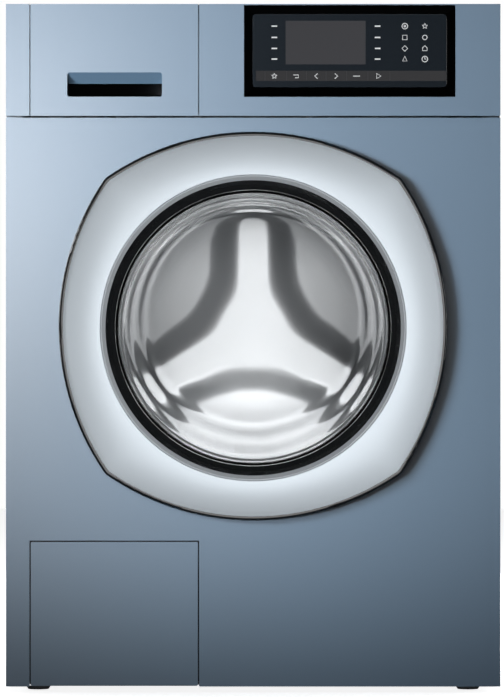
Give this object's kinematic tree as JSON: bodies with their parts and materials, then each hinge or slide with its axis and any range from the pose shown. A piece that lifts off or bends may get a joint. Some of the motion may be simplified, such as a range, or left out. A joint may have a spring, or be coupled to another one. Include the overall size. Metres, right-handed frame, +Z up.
{
  "type": "washing machine",
  "caption": "Front-loading washing machine with a glass bowl door in a silver ring, detergent drawer, touch control glass, service flap, and a sprung tub with a belt-driven drum.",
  "frame": {"origin": "centre of the footprint on the floor", "axes": "+Z up, -Y out of the front with the door, +X to the right as seen from the front"},
  "size_m": [0.6, 0.64, 0.835],
  "materials": {
    "body_paint": "satin metallic paint",
    "fascia_paint": "satin metallic paint on plastic",
    "silver": "satin silver",
    "black_gloss": "gloss",
    "black_plastic": "fine matt",
    "white_plastic": "smooth",
    "grey_plastic": "moulded matt",
    "glass": "clear",
    "drum_steel": "brushed",
    "zinc": "zinc plated",
    "cast": "as cast",
    "rubber": "matt",
    "concrete": "rough cast",
    "board": "lacquered"
  },
  "bodies": {
    "cabinet": {"left_side_panel": "body_paint", "right_side_panel": "body_paint", "front_panel": "body_paint", "base_pan": "zinc", "rear_panel": "zinc", "rear_service_cover": "zinc", "transit_bolt_caps": "black_plastic", "top_cover": "body_paint", "crossbars": "zinc", "control_fascia": "fascia_paint", "display_frame": "black_gloss", "display_glass": "black_gloss", "control_board": "board", "dispenser_housing": "white_plastic", "hinge_bracket": "zinc", "door_lock": "black_plastic", "door_gasket": "rubber", "suspension_springs": "zinc", "damper_cylinders": "black_plastic", "inlet_valve": "white_plastic", "inlet_hose": "rubber", "dispenser_hose": "rubber", "drain_pump": "black_plastic", "filter_bay": "black_plastic", "sump_hose": "rubber", "drain_hose": "grey_plastic", "drain_spigot": "grey_plastic", "cord_gland": "black_plastic"},
    "door": {"door_ring": "silver", "door_inner_frame": "black_plastic", "glass_trim_ring": "black_gloss", "door_glass": "glass", "hinge_pins": "zinc"},
    "latch": {"latch_hook": "zinc"},
    "drawer": {"drawer_front": "fascia_paint", "drawer_tray": "white_plastic", "siphon_insert": "grey_plastic"},
    "flap": {"service_flap": "fascia_paint"},
    "filter": {"pump_filter": "grey_plastic"},
    "front_left_foot": {"foot_front_left": "black_plastic"},
    "front_right_foot": {"foot_front_right": "black_plastic"},
    "rear_left_foot": {"foot_rear_left": "black_plastic"},
    "rear_right_foot": {"foot_rear_right": "black_plastic"},
    "tub": {"tub_rear": "grey_plastic", "tub_front": "grey_plastic", "tub_bolts": "zinc", "heating_element": "zinc", "front_counterweights": "concrete", "upper_counterweight": "concrete", "bearings": "zinc", "motor": "cast", "damper_rods": "zinc", "drive_belt": "rubber"},
    "drum": {"drum_shell": "drum_steel", "drum_front": "drum_steel", "drum_back": "drum_steel", "drum_lifters": "white_plastic", "drum_spider": "cast", "drum_pulley": "cast"},
    "motor_rotor": {"motor_pulley": "zinc"}
  },
  "joints": [
    {"name": "door_hinge", "type": "hinge", "parent": "cabinet", "child": "door", "pos_m": [-0.2285, -0.299, 0.444], "axis": [0, 0, -1], "range_deg": [0, 95]},
    {"name": "latch_pivot", "type": "hinge", "parent": "door", "child": "latch", "pos_m": [0.2145, -0.302, 0.4418], "axis": [0, 0, 1], "range_deg": [0, 7], "stiffness_Nm_per_rad": 0.2, "springref_deg": -5.73},
    {"name": "drawer_slide", "type": "slide", "parent": "cabinet", "child": "drawer", "axis": [0, -1, 0], "range_m": [0, 0.15]},
    {"name": "flap_hinge", "type": "hinge", "parent": "cabinet", "child": "flap", "pos_m": [-0.2642, -0.284, 0.095], "axis": [0, 0, -1], "range_deg": [0, 100]},
    {"name": "filter_turn", "type": "hinge", "parent": "cabinet", "child": "filter", "pos_m": [-0.16845, -0.2515, 0.08], "axis": [0, -1, 0], "range_deg": [0, 90]},
    {"name": "front_left_foot_screw", "type": "slide", "parent": "cabinet", "child": "front_left_foot", "axis": [0, 0, -1], "range_m": [0, 0.02]},
    {"name": "rear_left_foot_screw", "type": "slide", "parent": "cabinet", "child": "rear_left_foot", "axis": [0, 0, -1], "range_m": [0, 0.02]},
    {"name": "front_right_foot_screw", "type": "slide", "parent": "cabinet", "child": "front_right_foot", "axis": [0, 0, -1], "range_m": [0, 0.02]},
    {"name": "rear_right_foot_screw", "type": "slide", "parent": "cabinet", "child": "rear_right_foot", "axis": [0, 0, -1], "range_m": [0, 0.02]},
    {"name": "tub_bounce", "type": "slide", "parent": "cabinet", "child": "tub", "axis": [0, 0, 1], "range_m": [-0.008, 0.008], "stiffness_N_per_m": 16000, "springref_m": 0.0235, "deforming": ["suspension_springs", "dispenser_hose", "sump_hose", "door_gasket"]},
    {"name": "drum_spin", "type": "hinge", "parent": "tub", "child": "drum", "pos_m": [0, 0, 0.4418], "axis": [0, 1, 0], "continuous": true},
    {"name": "motor_spin", "type": "hinge", "parent": "tub", "child": "motor_rotor", "pos_m": [0.07, 0.22, 0.1218], "axis": [0, 1, 0], "continuous": true}
  ],
  "couplings": [
    {"joint": "motor_spin", "follows": "drum_spin", "ratio": 12.727}
  ]
}
